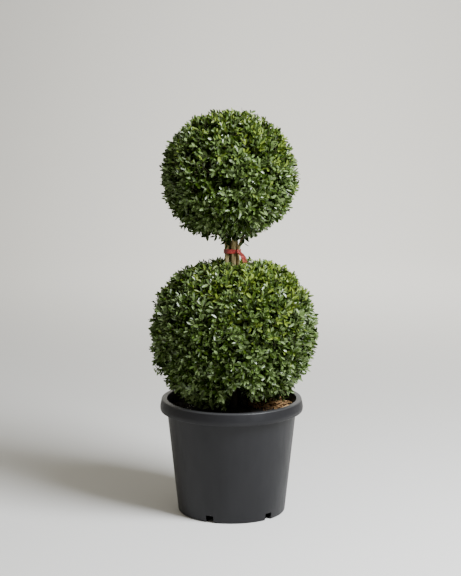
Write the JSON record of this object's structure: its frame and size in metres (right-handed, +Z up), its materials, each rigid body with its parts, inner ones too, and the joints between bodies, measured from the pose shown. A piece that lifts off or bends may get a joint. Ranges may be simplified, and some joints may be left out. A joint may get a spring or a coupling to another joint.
{
  "type": "two ball box topiary in a nursery pot",
  "caption": "Evergreen topiary with a small clipped leafy ball above a larger one on bare tied stems, standing in a round plastic nursery pot of soil.",
  "frame": {"origin": "centre of the pot's flat underside", "axes": "+Z up along the stems, -Y towards the front, +X to the front view's right"},
  "size_m": [0.3402, 0.3466, 0.8499],
  "materials": {
    "pot_plastic": "satin charcoal moulded plastic",
    "soil": "dark crumbly potting soil with some coir fibre",
    "bark": "pale tan bark with fine grey-olive cracks",
    "tie_plastic": "glossy red plastic strip",
    "leaves": "glossy small leaves, dark green with yellow-green new growth"
  },
  "bodies": {
    "root": {"pot": "pot_plastic", "soil": "soil", "stem_left": "bark", "stem_back": "bark", "stem_front": "bark", "stem_right": "bark", "bough_left": "bark", "bough_right": "bark", "tie": "tie_plastic", "lower_foliage": "leaves", "upper_foliage": "leaves"}
  },
  "joints": []
}
